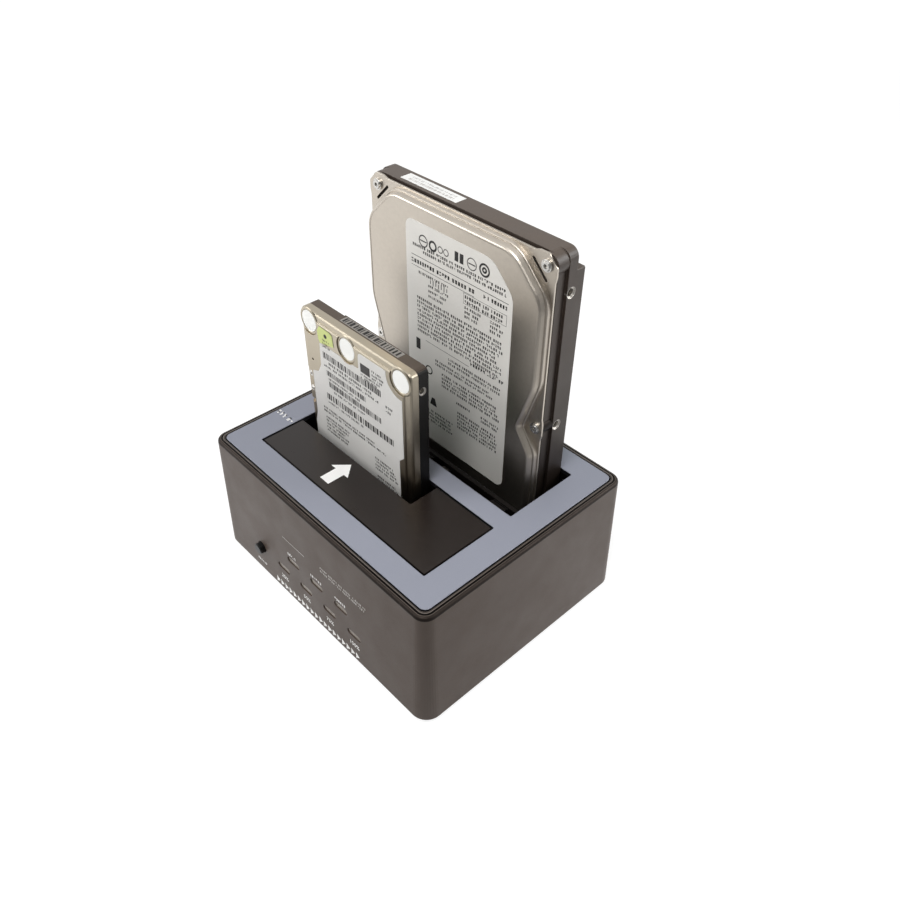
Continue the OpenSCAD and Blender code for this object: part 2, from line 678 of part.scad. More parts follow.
// Raised part of the cover, pressed in at each side to leave a bay for a screw
rise_half = [[100.6, 22], [100.6, 60], [93.6, 70.3], [100.6, 93], [100.6, 130.2], [85, 145.8]];
rise_half_r = [8, 8, 2, 24, 14, 14];
large_step_up = large_t - large_skirt;
plateau = large_t - 0.15;    // the middle of the cover lies just inside its ridge
rise_levels = [
    [0, large_skirt - 0.4], [0.2, large_skirt + 0.38 * large_step_up],
    [0.45, large_skirt + 0.45 * large_step_up], [0.95, large_skirt + 0.45 * large_step_up],
    [1.15, large_skirt + 0.6 * large_step_up], [1.5, large_skirt + 0.82 * large_step_up],
    [1.9, large_skirt + 0.95 * large_step_up], [2.3, large_t], [2.7, large_t], [3, plateau]];

module large_cover() color(COVER) standing(rear_bay) union() {
    difference() {
        prism(both_halves(flange_half), there_and_back(flange_half_r), large_skirt - cover_t, large_skirt);
        large_slits();
        for (place = large_screws)
            translate([place[0], place[1], large_skirt - 2]) cylinder(r = pilot_r, h = 3);
    }
    loft(both_halves(rise_half), there_and_back(rise_half_r), rise_levels);
}

// Round-ended slits through the flange beside its upper corner screws
slit_start = [90.5, 142.8];
slit_run = [6.4, -6.5];
slit_r = 0.6;

module large_slits()
    for (side = [0, 1])
        translate([side * large_w, 0, 0]) mirror([side, 0, 0])
            translate([slit_start[0], slit_start[1], large_skirt - 2])
                rotate(atan2(slit_run[1], slit_run[0])) {
                    box([0, -slit_r, 0], [norm(slit_run), slit_r, 3]);
                    for (x = [0, norm(slit_run)]) translate([x, 0, 0]) cylinder(r = slit_r, h = 3);
                }

module large_cover_screws() color(STEEL) standing(rear_bay)
    for (place = large_screws)
        translate([place[0], place[1], large_skirt]) socket_screw(2.4, 1.3, screw_r, 4.5);

large_label_outline = [[23.5, 31], [84.3, 31], [84.3, 123], [74, 134.6], [23.5, 134.6]];

module large_label() color(WHITE) standing(rear_bay)
    prism(large_label_outline, [4, 4, 10, 10, 4], plateau, plateau + 0.12);

module large_end_label() color(WHITE) standing(rear_bay)
    box([15, large_l, 6], [47, large_l + 0.12, 11.6]);

module large_board() color(BOARD) standing(rear_bay) difference() {
    prism([[6.6, notch_b + 0.4], [95, notch_b + 0.4], [95, 104], [72, 112], [30, 112], [6.6, 104]],
        [1, 1, 3, 5, 5, 3], board_c, board_c + 1);
    translate([large_w / 2, 95, 0]) cylinder(r = 15.5, h = 4);
    for (place = large_board_places) translate([place[0], place[1], 0]) cylinder(r = 1.4, h = 4);
}

large_board_places = [[12, 16], [90, 16], [12, 98], [90, 98], [60, 40]];

module large_motor() color(STEEL) standing(rear_bay) translate([large_w / 2, 95, 0]) {
    translate([0, 0, 1.8]) cylinder(r = 14.6, h = large_rail - 1.8);
    translate([0, 0, 0.9]) cylinder(r = 9, h = 0.9);
}

module large_board_screws() color(STEEL) standing(rear_bay)
    for (place = large_board_places)
        translate([place[0], place[1], board_c]) rotate([180, 0, 0]) screw(2.2, 0.8, screw_r, 5);

module large_plug() color(BLACK) standing(rear_bay) drive_plug(0.4);

// ---- Small drive ----

small_sides = [14, 90.6];
small_outline = [[0, 0], [small_w, 0], [small_w, small_l], [0, small_l]];
// Centres of the three round seals on the cover
seals = [[5.8, 95], [31, 93.2], [64.2, 95]];
seal_r = 4.75;
seal_ring = 1.4;             // width of the pressed ring round a seal
small_terrace = small_t - 0.7;
small_strip = small_t - 1.3; // level of the strip that holds the cover's screws
small_screws = [58.8, 66.8];
small_screw_a = 2.6;
small_screw_r = 0.7;
small_pilot_r = 0.75;

module small_casting() color(DARK) standing(front_bay) difference() {
    prism(small_outline, [1, 1, 2.6, 2.6], 0, small_split);
    plug_notch();
    box([-bite, small_l - 0.7, -bite], [19.5, small_l + bite, small_split + bite]);
    box([2.4, -bite, -bite], [small_w - 2.4, 62, 1.5]);
    for (b = small_screws) translate([small_screw_a, b, small_split - 2]) cylinder(r = small_pilot_r, h = 3);
    for (b = small_sides, side = [0, 1])
        translate([side * small_w, b, 3]) rotate([0, side == 0 ? 90 : -90, 0]) {
            translate([0, 0, -bite]) cylinder(r = 1.25, h = 3.5 + bite);
            translate([0, 0, -bite]) cylinder(r = 1.8, h = 0.4 + bite);
        }
}

module small_cover() color(COVER) standing(front_bay) difference() {
    union() {
        loft(small_outline, [1, 1, 2.6, 2.6],
            [[0, small_split], [0, small_terrace - 0.9], [0.25, small_terrace - 0.35],
             [0.9, small_terrace]]);
        loft([[2.2, 4], [66.2, 4], [66.2, 97.2], [2.2, 97.2]], [2, 2, 4, 4],
            [[0, small_terrace - 0.2], [0.3, small_t - 0.25], [0.8, small_t]]);
    }
    plug_notch();
    for (place = seals)
        translate([place[0], place[1], small_terrace]) cylinder(r = seal_r + seal_ring, h = 3);
    prism([[-3, 52], [4.6, 52], [4.6, 69.4], [-3, 69.4]], same(1.2), small_strip, small_t + bite);
    box([-bite, -bite, small_strip - 1], [1.6, 52.5, small_t + bite]);
    for (b = small_screws) translate([small_screw_a, b, small_split - bite]) cylinder(r = small_pilot_r, h = 6);
    translate([6.2, 76.4, small_t - 1]) cylinder(r = 0.6, h = 2);
}

module small_cover_screws() color(STEEL) standing(front_bay)
    for (b = small_screws)
        translate([small_screw_a, b, small_strip])
            socket_screw(1.5, 0.7, small_screw_r, small_strip - small_split + 1.5);

module small_seals() color(WHITE) standing(front_bay)
    for (place = seals)
        translate([place[0], place[1], small_terrace]) cylinder(r = seal_r, h = 0.25);

small_label_outline = [
    [3.8, 6], [62.4, 6], [62.4, 54.8], [65.2, 57.6], [65.2, 96], [38.7, 96], [38.7, 88],
    [12.6, 88], [12.2, 76.6], [9.8, 72], [5.4, 70.4], [5.4, 48], [3.8, 42]];

module small_label() color(WHITE) standing(front_bay) difference() {
    prism(small_label_outline, [1, 1, 1, 1, 1, 2, 1, 1, 3, 2, 1, 3, 3], small_t, small_t + 0.1, 4);
    translate([seals[1][0], seals[1][1], small_t - bite]) cylinder(r = seal_r + 1.8, h = 2);
    translate([seals[2][0], seals[2][1], small_t - bite]) cylinder(r = seal_r + 3.6, h = 2);
}

module small_end_label() color(WHITE) standing(front_bay)
    box([21, small_l, 0.6], [57.3, small_l + 0.12, 4.3]);

module small_board() color(BOARD) standing(front_bay)
    box([2.8, notch_b + 0.4, 0.5], [small_w - 2.8, 61, 1.5]);

module small_plug() color(BLACK) standing(front_bay) drive_plug(0.4);

// ================= What is drawn =================

outer_shell();
trim_ring();
top_panel();
base_plate();
bay_frame();
front_flap();
rear_flap();
flap_pin(front_bay);  // front_flap_pin
flap_pin(rear_bay);  // rear_flap_pin
flap_spring(front_bay, 0);  // front_flap_spring
flap_spring(rear_bay, -fold);  // rear_flap_spring
main_board();
bridge_chip();
capacitors();
drive_socket(front_bay);  // front_socket
drive_socket(rear_bay);  // rear_socket
indicator_board();
indicator_leds();
indicator_lens(lens_places[0]);  // status_lens_1
indicator_lens(lens_places[1]);  // status_lens_2
indicator_lens(lens_places[2]);  // status_lens_3
indicator_lens(lens_places[3]);  // progress_lens_25
indicator_lens(lens_places[4]);  // progress_lens_50
indicator_lens(lens_places[5]);  // progress_lens_75
indicator_lens(lens_places[6]);  // progress_lens_100
start_button();
switch_plunger();
button_switch();
rocker_housing();
power_rocker();
power_jack();
usb_port();
usb_tongue();
foot(-1, -1);  // foot_front_left
foot(1, -1);  // foot_front_right
foot(-1, 1);  // foot_rear_left
foot(1, 1);  // foot_rear_right
base_screws();
frame_screws();
board_screws();
large_casting();
large_cover();
large_label();
large_end_label();
large_board();
large_motor();
large_plug();
large_cover_screws();
large_board_screws();
small_casting();
small_cover();
small_label();
small_end_label();
small_board();
small_plug();
small_seals();
small_cover_screws();
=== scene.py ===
import math
import random

import bmesh
import bpy
from mathutils import Matrix, Vector
from mathutils.bvhtree import BVHTree

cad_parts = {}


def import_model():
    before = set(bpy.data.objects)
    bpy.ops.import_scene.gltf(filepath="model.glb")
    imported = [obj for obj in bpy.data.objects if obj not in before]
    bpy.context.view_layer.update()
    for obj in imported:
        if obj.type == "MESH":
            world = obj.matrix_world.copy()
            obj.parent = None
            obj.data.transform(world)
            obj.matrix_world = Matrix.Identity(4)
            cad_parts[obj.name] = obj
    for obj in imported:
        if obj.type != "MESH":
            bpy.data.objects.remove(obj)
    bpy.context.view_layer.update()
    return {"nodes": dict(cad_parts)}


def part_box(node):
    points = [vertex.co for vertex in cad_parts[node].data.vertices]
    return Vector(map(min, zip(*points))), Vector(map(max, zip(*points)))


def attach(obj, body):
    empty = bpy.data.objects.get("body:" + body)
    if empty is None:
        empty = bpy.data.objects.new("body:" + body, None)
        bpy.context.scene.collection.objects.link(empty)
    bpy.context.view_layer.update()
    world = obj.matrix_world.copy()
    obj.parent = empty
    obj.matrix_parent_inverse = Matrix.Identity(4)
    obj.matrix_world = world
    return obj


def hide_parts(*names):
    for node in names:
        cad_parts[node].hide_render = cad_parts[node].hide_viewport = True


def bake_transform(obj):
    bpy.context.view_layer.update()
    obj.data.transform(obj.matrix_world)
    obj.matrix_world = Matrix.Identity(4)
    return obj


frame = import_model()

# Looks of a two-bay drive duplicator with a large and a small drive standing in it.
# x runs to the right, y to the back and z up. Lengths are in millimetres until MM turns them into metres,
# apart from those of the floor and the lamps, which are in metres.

MM = 0.001
X, Y, Z = range(3)
scene = bpy.context.scene


def srgb(r, g, b):
    """A screen colour, 0 to 255, as linear values."""
    def linear(v):
        v /= 255
        return v / 12.92 if v <= 0.04045 else ((v + 0.055) / 1.055) ** 2.4
    return linear(r), linear(g), linear(b), 1


def grey(value):
    return value, value, value, 1


# Painted shade: the black of shadow in gaps, recesses and along shaded edges, laid on as colour.
SHADE_BLACK = srgb(14, 12, 11)
# Painted highlight: a light line laid on as colour along the rim.
SHINE = srgb(150, 138, 128)
BRIGHT_EDGE = (0.9, 0.88, 0.84, 1)
DUSTY_EDGE = srgb(150, 138, 126)
# Painted light: the lighter tone laid on the upward faces of the castings.
LIT_TOP_TONE = srgb(104, 91, 80)
BARE_METAL = srgb(208, 204, 198)


# ================= Material nodes =================

class Nodes:
    """Short calls that add shader nodes to a tree. A value may be a number, a tuple or another node's socket."""

    def __init__(self, tree):
        self.tree = tree

    def add(self, kind, inputs=None, **settings):
        node = self.tree.nodes.new("ShaderNode" + kind)
        for key, value in settings.items():
            setattr(node, key, value)
        for key, value in (inputs or {}).items():
            self.join(value, node.inputs[key])
        return node

    def join(self, value, socket):
        if isinstance(value, bpy.types.NodeSocket):
            self.tree.links.new(value, socket)
        else:
            socket.default_value = value

    def maths(self, operation, *values):
        return self.add("Math", dict(enumerate(values)), operation=operation).outputs[0]

    def vector(self, operation, *values, output="Vector"):
        return self.add("VectorMath", dict(enumerate(values)), operation=operation).outputs[output]

    def between(self, value, low, high, start=0.0, end=1.0):
        """From start to end as value goes from low to high, and no further."""
        return self.add("MapRange", {0: value, 1: low, 2: high, 3: start, 4: end}, clamp=True).outputs[0]

    def blend(self, factor, a, b):
        """A number from a to b as factor goes from 0 to 1."""
        return self.add("Mix", {0: factor, 2: a, 3: b}, data_type="FLOAT").outputs[0]


class Recipe(Nodes):
    """One material. Sizes of patterns are in millimetres on the part at rest."""

    # A noise's values hardly leave this range.
    NOISE_LOW, NOISE_HIGH = 0.3, 0.7
    # How well a rounded normal agrees with the true one where an edge starts and where it is full.
    EDGE_START, EDGE_FULL = 0.995, 0.86

    def __init__(self, name, metallic=0.0, specular=0.5):
        self.material = bpy.data.materials.new(name)
        self.material.use_nodes = True
        super().__init__(self.material.node_tree)
        self.shader = self.tree.nodes["Principled BSDF"]
        self.shader.inputs["Metallic"].default_value = metallic
        self.shader.inputs["Specular IOR Level"].default_value = specular
        self.place = self.add("TexCoord").outputs["Object"]

    def noise(self, size, detail=2.0, stretch=(1, 1, 1)):
        """Noise with patches of about size, longer along an axis where stretch is large."""
        scale = tuple(1 / (size * MM * s) for s in stretch)
        place = self.add("Mapping", {"Vector": self.place, "Scale": scale}).outputs[0]
        return self.add("TexNoise", {"Vector": place, "Scale": 1.0, "Detail": detail}).outputs[0]

    def spread(self, noise, low, high):
        """A noise's values spread out from low to high."""
        return self.between(noise, self.NOISE_LOW, self.NOISE_HIGH, low, high)

    def mix(self, factor, a, b, mode="MIX"):
        """A colour from a to b as factor goes from 0 to 1."""
        return self.add("Mix", {0: factor, 6: a, 7: b}, data_type="RGBA", blend_type=mode).outputs[2]

    def shade(self, colour, noise, amount):
        """colour made darker and lighter by amount as a noise goes from low to high."""
        factor = self.between(noise, 0.25, 0.75, 1 - amount, 1 + amount)
        tone = self.add("CombineColor", {0: factor, 1: factor, 2: factor}).outputs[0]
        return self.mix(1.0, colour, tone, "MULTIPLY")

    def along(self, axis):
        return self.add("SeparateXYZ", {0: self.place}).outputs[axis]

    def within(self, way, low, high, soft):
        """1 where way, a length in metres, is from low to high millimetres, with ends that are soft on both sides."""
        start = self.between(way, (low - soft) * MM, (low + soft) * MM)
        return self.maths("MULTIPLY", start, self.between(way, (high - soft) * MM, (high + soft) * MM, 1.0, 0.0))

    def near_axis(self, axis, centre, radius):
        """1 within radius of a line along axis through centre, a place in metres."""
        soft = 0.1
        keep = tuple(0.0 if i == axis else 1.0 for i in range(3))
        across = self.vector("MULTIPLY", self.vector("SUBTRACT", self.place, tuple(centre)), keep)
        distance = self.vector("LENGTH", across, output="Value")
        return self.between(distance, (radius - soft) * MM, (radius + soft) * MM, 1.0, 0.0)

    def ring(self, box, radius, near, far):
        """1 from near to far inside the outline of a box seen from above, whose corners have this radius."""
        low, high = box
        half = (high - low) / 2
        core = (half.x - radius * MM, half.y - radius * MM, 1)
        way = self.vector("ABSOLUTE", self.vector("SUBTRACT", self.place, tuple((low + high) / 2)))
        way = self.vector("MAXIMUM", self.vector("SUBTRACT", way, core), (0, 0, 0))
        inside = self.maths("SUBTRACT", radius * MM, self.vector("LENGTH", way, output="Value"))
        return self.within(inside, near, far, soft=0.06)

    def rounded(self, radius):
        """The surface's direction with its edges rounded off, and a mask of those edges."""
        soft = self.add("Bevel", {"Radius": radius * MM}, samples=6).outputs[0]
        true = self.add("NewGeometry").outputs["Normal"]
        agreement = self.vector("DOT_PRODUCT", soft, true, output="Value")
        return soft, self.between(agreement, self.EDGE_START, self.EDGE_FULL)

    def bump(self, height, depth, normal=None):
        node = self.add("Bump", {"Height": height, "Distance": depth * MM, "Strength": 1.0})
        if normal is not None:
            self.join(normal, node.inputs["Normal"])
        return node.outputs[0]

    def finish(self, colour, roughness, normal):
        self.join(colour, self.shader.inputs["Base Color"])
        self.join(roughness, self.shader.inputs["Roughness"])
        self.join(normal, self.shader.inputs["Normal"])
        return self.material


def moulded(name, colour, grain=0.5, depth=0.012, rough=(0.42, 0.56), edge=0.35, wear=0.08, specular=0.35,
            tone=0.03, uneven=0.03, bands=()):
    """Moulded plastic: spark-eroded grain, a slow change of tone and gloss, and edges rubbed lighter.

    grain is its size and depth its height, uneven is how much it varies the gloss, and wear is how pale edges get.
    bands are (mask, colour, share), lines of another tone: painted shade in black and painted highlight lines.
    The black of painted shade reflects next to nothing, so it is laid on as dark metal."""
    r = Recipe(name, specular=specular)
    slow, fine, rubbed, clouds = r.noise(38, 3), r.noise(grain, 1), r.noise(6, 3), r.noise(11, 3)
    base = r.shade(r.shade(colour, slow, tone), fine, tone)
    soft, edges = r.rounded(edge)
    worn = r.maths("MULTIPLY", edges, r.between(rubbed, 0.35, 0.75, 0.2 * wear, wear))
    lighter = tuple(min(1, c * 1.6 + 0.04) for c in colour[:3]) + (1,)
    base = r.mix(worn, base, lighter)
    deep = 0.0
    for mask, other, share in bands:
        cover = r.maths("MULTIPLY", mask(r), share)
        base = r.mix(cover, base, other)
        # Where painted shade is laid on, the surface turns to dark metal so that it reflects next to nothing.
        if other == SHADE_BLACK:
            deep = r.maths("MAXIMUM", deep, cover)
    if bands:
        r.join(deep, r.shader.inputs["Metallic"])
    gloss = r.maths("ADD", r.spread(clouds, *rough), r.spread(fine, -uneven, uneven))
    return r.finish(base, gloss, r.bump(fine, depth, soft))


def plated(name, colour, size=0.6, stretch=(1, 1, 1), rough=(0.3, 0.42), depth=0.004, tone=0.05, mottle=0.0,
           fall=None):
    """Metal with a fine grain or brushing, faint stains and brighter edges.

    mottle is how much small cloudy patches show, and fall is (top, bottom, colour), a tone that deepens downwards."""
    r = Recipe(name, metallic=1.0)
    fine, slow = r.noise(size, 3, stretch), r.noise(22, 4)
    base = r.shade(r.shade(colour, fine, tone), slow, tone * 0.7)
    if mottle:
        base = r.shade(base, r.noise(1.6, 2), mottle)
    if fall:
        top, bottom, deep = fall
        base = r.mix(r.between(r.along(Z), top * MM, bottom * MM), base, deep)
    soft, edges = r.rounded(0.15)
    base = r.mix(r.maths("MULTIPLY", edges, 0.12), base, BRIGHT_EDGE)
    gloss = r.maths("ADD", r.spread(slow, *rough), r.spread(fine, -0.02, 0.02))
    return r.finish(base, gloss, r.bump(fine, depth, soft))


def printed(name, colour):
    """Ink with a slightly uneven cover."""
    r = Recipe(name, specular=0.3)
    fine = r.noise(0.35, 2)
    base = r.shade(r.shade(colour, fine, 0.06), r.noise(9, 2), 0.06)
    return r.finish(base, r.spread(fine, 0.45, 0.6), r.bump(fine, 0.002))


def paper(name, colour, rough=(0.4, 0.52)):
    """Coated label stock: faint fibres, rubbed patches and a soft cut edge."""
    r = Recipe(name, specular=0.4)
    fibre, patch = r.noise(0.25, 3, (3, 3, 1)), r.noise(14, 4)
    base = r.shade(r.shade(colour, fibre, 0.012), patch, 0.02)
    soft, _ = r.rounded(0.05)
    return r.finish(base, r.spread(patch, *rough), r.bump(fibre, 0.002, soft))


# ================= Places on the part =================

def centre(node):
    low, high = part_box(node)
    return (low + high) / 2


class Drive:
    """A standing drive, with places in millimetres across, up and out from its board side."""

    def __init__(self, casting, label):
        self.low, self.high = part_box(casting)
        self.label_back, self.label_face = ((self.high.y - corner.y) / MM for corner in reversed(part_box(label)))

    def place(self, across, up, out):
        return Vector((self.low.x + across * MM, self.high.y - out * MM, self.low.z + up * MM))

    def on_label(self, lift):
        """Gives places on the drive's label, raised by lift."""
        return lambda across, up: self.place(across, up, self.label_face + lift)

    def on_end(self, label, lift):
        """Gives places on a label on the drive's upper end."""
        top = (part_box(label)[1].z - self.low.z) / MM + lift
        return lambda across, out: self.place(across, top, out)


LARGE = Drive("large_casting", "large_label")
SMALL = Drive("small_casting", "small_label")


# ================= Masks =================
# Each gives a call that adds its nodes to a material, and whose result is 1 on the place it names.

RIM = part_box("trim_ring")
RIM_RADIUS = 3.85
# How dark the painted shade gets under a cover tab and towards a drive's lower end.
TAB_SHADE = 0.8
PLUG_SHADE = 0.5


def height_band(low, high):
    return lambda r: r.within(r.along(Z), low, high, soft=0.08)


def rim_line(near, far):
    """A line that follows the rim, from near to far inside the bead's outer edge."""
    return lambda r: r.ring(RIM, RIM_RADIUS, near, far)


def border(node, radius, width):
    """The outer strip of a flat piece."""
    outside = -1
    return lambda r: r.ring(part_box(node), radius, outside, width)


def drilled(drive, up, out, radius):
    """The bright seats of a pair of side holes, which reach a little way in from a drive's two sides."""
    middle, half = (drive.low.x + drive.high.x) / 2, (drive.high.x - drive.low.x) / 2
    start, full = half - 5 * MM, half - 4.8 * MM

    def mask(r):
        near = r.near_axis(X, drive.place(0, up, out), radius)
        off_middle = r.maths("ABSOLUTE", r.maths("SUBTRACT", r.along(X), middle))
        return r.maths("MULTIPLY", near, r.between(off_middle, start, full))
    return mask


def machined_corner(drive, across, up, radius, start):
    """The corner of a casting round a cover screw, from depth start towards the cover."""
    def mask(r):
        near = r.near_axis(Y, drive.place(across, up, 0), radius)
        low, high = (drive.place(0, 0, start + step).y for step in (0.15, -0.15))
        return r.maths("MULTIPLY", near, r.between(r.along(Y), low, high, 1.0, 0.0))
    return mask


def under_tab(drive, across, up, radius, start):
    """The post of a cover screw, in the shade under the cover's edge."""
    def mask(r):
        near = r.near_axis(Y, drive.place(across, up, 0), radius)
        low, high = (drive.place(0, 0, start + step).y for step in (0, 0.1))
        return r.maths("MULTIPLY", near, r.between(r.along(Y), low, high, 0.0, TAB_SHADE))
    return mask


def shade_downwards(drive, top, low):
    """Painted shade on the end of a drive that stands down in the bay, darker downwards."""
    top, low = (drive.place(0, up, 0).z for up in (top, low))
    return lambda r: r.between(r.along(Z), top, low, 0.0, PLUG_SHADE)


# ================= Materials of the CAD pieces =================

def casting_metal(name, colour, bright, shaded, specular, lit_top=0.5):
    """Dark painted casting whose upward faces are made lighter as painted light. bright masks bare metal, and the other
    masks lay on painted shade.
    """
    r = Recipe(name, specular=specular)
    fine, slow = r.noise(0.35, 2), r.noise(17, 3)
    base = r.shade(r.shade(colour, fine, 0.06), slow, 0.08)
    base = r.shade(base, r.noise(3, 3, (1, 1, 2.5)), 0.1)
    soft, edges = r.rounded(0.3)
    base = r.mix(r.maths("MULTIPLY", edges, 0.1), base, DUSTY_EDGE)
    # Painted light: faces turned upward are made lighter, in patches.
    facing_up = r.add("SeparateXYZ", {0: r.add("NewGeometry").outputs["Normal"]}).outputs[Z]
    lit_top_cover = r.maths("MULTIPLY", r.between(facing_up, 0.6, 0.9, 0.0, lit_top), r.between(slow, 0.25, 0.7, 0.75, 1.0))
    base = r.mix(lit_top_cover, base, r.shade(LIT_TOP_TONE, fine, 0.05))
    # Painted shade from the shade masks, black laid on as dark metal.
    painted_shade = bare = 0.0
    for mask in shaded:
        painted_shade = r.maths("MAXIMUM", painted_shade, mask(r))
    base = r.mix(painted_shade, base, SHADE_BLACK)
    for mask in bright:
        bare = r.maths("MAXIMUM", bare, mask(r))
    base = r.mix(bare, base, r.shade(BARE_METAL, fine, 0.05))
    r.join(r.maths("MAXIMUM", r.maths("MULTIPLY", bare, 0.85), painted_shade), r.shader.inputs["Metallic"])
    gloss = r.maths("ADD", r.between(bare, 0.0, 1.0, 0.46, 0.38), r.spread(slow, -0.05, 0.05))
    return r.finish(base, gloss, r.bump(fine, 0.008, soft))


def circuit_board():
    """Green board with a slanting net of raised tracks."""
    r = Recipe("circuit_board_green", specular=0.5)
    slanted = r.add("Mapping", {"Vector": r.place, "Rotation": (0, 0, 0.785), "Scale": (420, 420, 420)}).outputs[0]
    trace = r.add("TexBrick", {"Vector": slanted, "Scale": 1.0, "Mortar Size": 0.06}).outputs["Fac"]
    fine = r.noise(0.8, 2)
    base = r.mix(r.maths("MULTIPLY", trace, 0.5), r.shade(srgb(22, 78, 48), fine, 0.08), srgb(58, 128, 78))
    soft, _ = r.rounded(0.1)
    return r.finish(base, r.spread(fine, 0.28, 0.4), r.bump(trace, 0.02, soft))


def seal_foil():
    """White foil disc, slightly domed by its glue."""
    r = Recipe("seal_white", specular=0.3)
    fine, slow = r.noise(0.5, 2), r.noise(5, 2)
    base = r.shade(srgb(254, 254, 250), fine, 0.005)
    return r.finish(base, r.spread(slow, 0.45, 0.6), r.bump(slow, 0.03))


def sticker_paper():
    r = Recipe("sticker_green", specular=0.35)
    fine = r.noise(0.4, 2)
    base = r.shade(r.shade(srgb(208, 218, 140), r.noise(5, 2), 0.03), fine, 0.02)
    return r.finish(base, r.spread(fine, 0.45, 0.55), r.bump(fine, 0.002))


# Painted shade on the shell's rounded top edge and in its lip at the bead, and a painted highlight line just outside
# the bead.
housing = moulded("housing_plastic", srgb(81, 70, 63), grain=0.45, rough=(0.42, 0.52), wear=0.0, specular=0.3,
    bands=[(height_band(61.7, 64), SHADE_BLACK, 0.75), (rim_line(-0.7, -0.45), SHINE, 0.3), (rim_line(-0.4, 0.5), SHADE_BLACK, 0.9)])
# Painted shade on the panel's sides and the walls of its openings, below its top face.
panel = moulded("panel_plastic", srgb(142, 145, 157), grain=0.4, depth=0.006, rough=(0.4, 0.5), edge=0.12,
    wear=0.0, tone=0.015, bands=[(height_band(60, 63.45), SHADE_BLACK, 0.85)])
# A painted highlight line on the bead's crest and painted shade along its outer edge.
bead = moulded("bead_plastic", srgb(48, 42, 38), grain=0.4, rough=(0.3, 0.4), edge=0.2, wear=0.0, specular=0.4,
    bands=[(rim_line(0.4, 0.7), SHINE, 0.4), (rim_line(-1, 0.35), SHADE_BLACK, 0.9)])
# Black plastic, made darker still and almost without gloss as painted shade in the bays.
bay = moulded("bay_plastic", srgb(8, 7, 7), rough=(0.45, 0.6), edge=0.2, wear=0.02, specular=0.06)
# The rear flap's plastic is a darker, less glossy copy of the front flap's: painted shade where it lies in the bay.
flap = moulded("flap_plastic", srgb(17, 14, 13), grain=0.4, depth=0.002, rough=(0.32, 0.38), edge=0.2,
    wear=0.03, specular=0.18, uneven=0.01)
# Painted shadow in a strip round the front flap's edge, for the gap round it.
closed_flap = moulded("closed_flap_plastic", srgb(30, 23, 20), grain=0.4, depth=0.002, rough=(0.28, 0.32), edge=0.2,
    wear=0.03, specular=0.4, uneven=0.01, bands=[(border("front_flap", 0.6, 0.45), SHADE_BLACK, 0.95)])
control = moulded("control_plastic", srgb(15, 14, 14), grain=0.4, depth=0.006, rough=(0.3, 0.4), edge=0.25,
    wear=0.04, specular=0.25)
connector = moulded("connector_plastic", srgb(28, 27, 28), grain=0.3, rough=(0.4, 0.5), edge=0.1)
chip = moulded("chip_epoxy", srgb(38, 38, 40), grain=0.15, depth=0.004, rough=(0.5, 0.6), edge=0.1)
rubber = moulded("foot_rubber", srgb(34, 33, 33), grain=0.6, depth=0.02, rough=(0.75, 0.9), edge=0.3, specular=0.2)
# The lens is coloured lighter than the housing plastic it matches: painted light against the shade in the recessed
# windows.
lens = moulded("lens_plastic", srgb(156, 147, 139), grain=0.8, depth=0.002, rough=(0.2, 0.3), edge=0.25,
    specular=0.5)
led = moulded("led_epoxy", srgb(225, 226, 220), grain=0.3, depth=0.002, rough=(0.2, 0.3), edge=0.1)

steel = plated("bright_steel", srgb(196, 194, 190), 0.4, rough=(0.22, 0.34))
spring = plated("spring_steel", srgb(70, 68, 66), 0.3, rough=(0.28, 0.4))
can = plated("capacitor_can", srgb(188, 188, 190), 0.5, (1, 1, 6), rough=(0.3, 0.4))
shield = plated("port_shield", srgb(190, 190, 188), 0.4, rough=(0.24, 0.34))
motor = plated("motor_metal", srgb(176, 172, 166), 0.4, rough=(0.3, 0.4))
large_metal = plated("large_cover_metal", srgb(188, 180, 169), 0.35, (1, 1, 5), rough=(0.36, 0.42), depth=0.0015,
    tone=0.03, mottle=0.03)
small_metal = plated("small_cover_metal", srgb(174, 165, 148), 0.3, (1, 1, 8), rough=(0.3, 0.34), depth=0.0003,
    tone=0.015, mottle=0.02, fall=(112, 62, srgb(138, 126, 108)))

# Painted shade under the cover tabs, and darker downwards towards the plug end of each casting.
large_cast = casting_metal("large_casting_paint", srgb(58, 48, 41), specular=0.45,
    bright=[drilled(LARGE, up, out=6.35, radius=2.3) for up in (28.5, 70.1, 130.1)]
    + [machined_corner(LARGE, across, up=142.3, radius=4.65, start=14.6) for across in (5.4, 97)],
    shaded=[under_tab(LARGE, across, up=71.3, radius=3.6, start=8.9) for across in (3.4, 98.2)]
    + [shade_downwards(LARGE, top=110, low=40)])
# The small casting's upward faces get more of the painted light.
small_cast = casting_metal("small_casting_paint", srgb(16, 14, 13), specular=0.3, lit_top=0.75,
    bright=[drilled(SMALL, up, out=3, radius=1.8) for up in (14, 90.6)], shaded=[shade_downwards(SMALL, top=96, low=50)])

grey_label = paper("large_label_paper", srgb(226, 223, 217), rough=(0.36, 0.46))
white_label = paper("white_label_paper", srgb(220, 218, 214))
end_label = paper("end_label_paper", srgb(244, 244, 242))
silver_label = paper("silver_label_paper", srgb(150, 146, 140))
white_ink = printed("white_ink", srgb(248, 247, 245))
grey_ink = printed("grey_ink", srgb(196, 192, 188))
black_ink = printed("black_ink", srgb(40, 38, 38))
soft_ink = printed("soft_black_ink", srgb(70, 67, 66))
board = circuit_board()
foil = seal_foil()
sticker = sticker_paper()

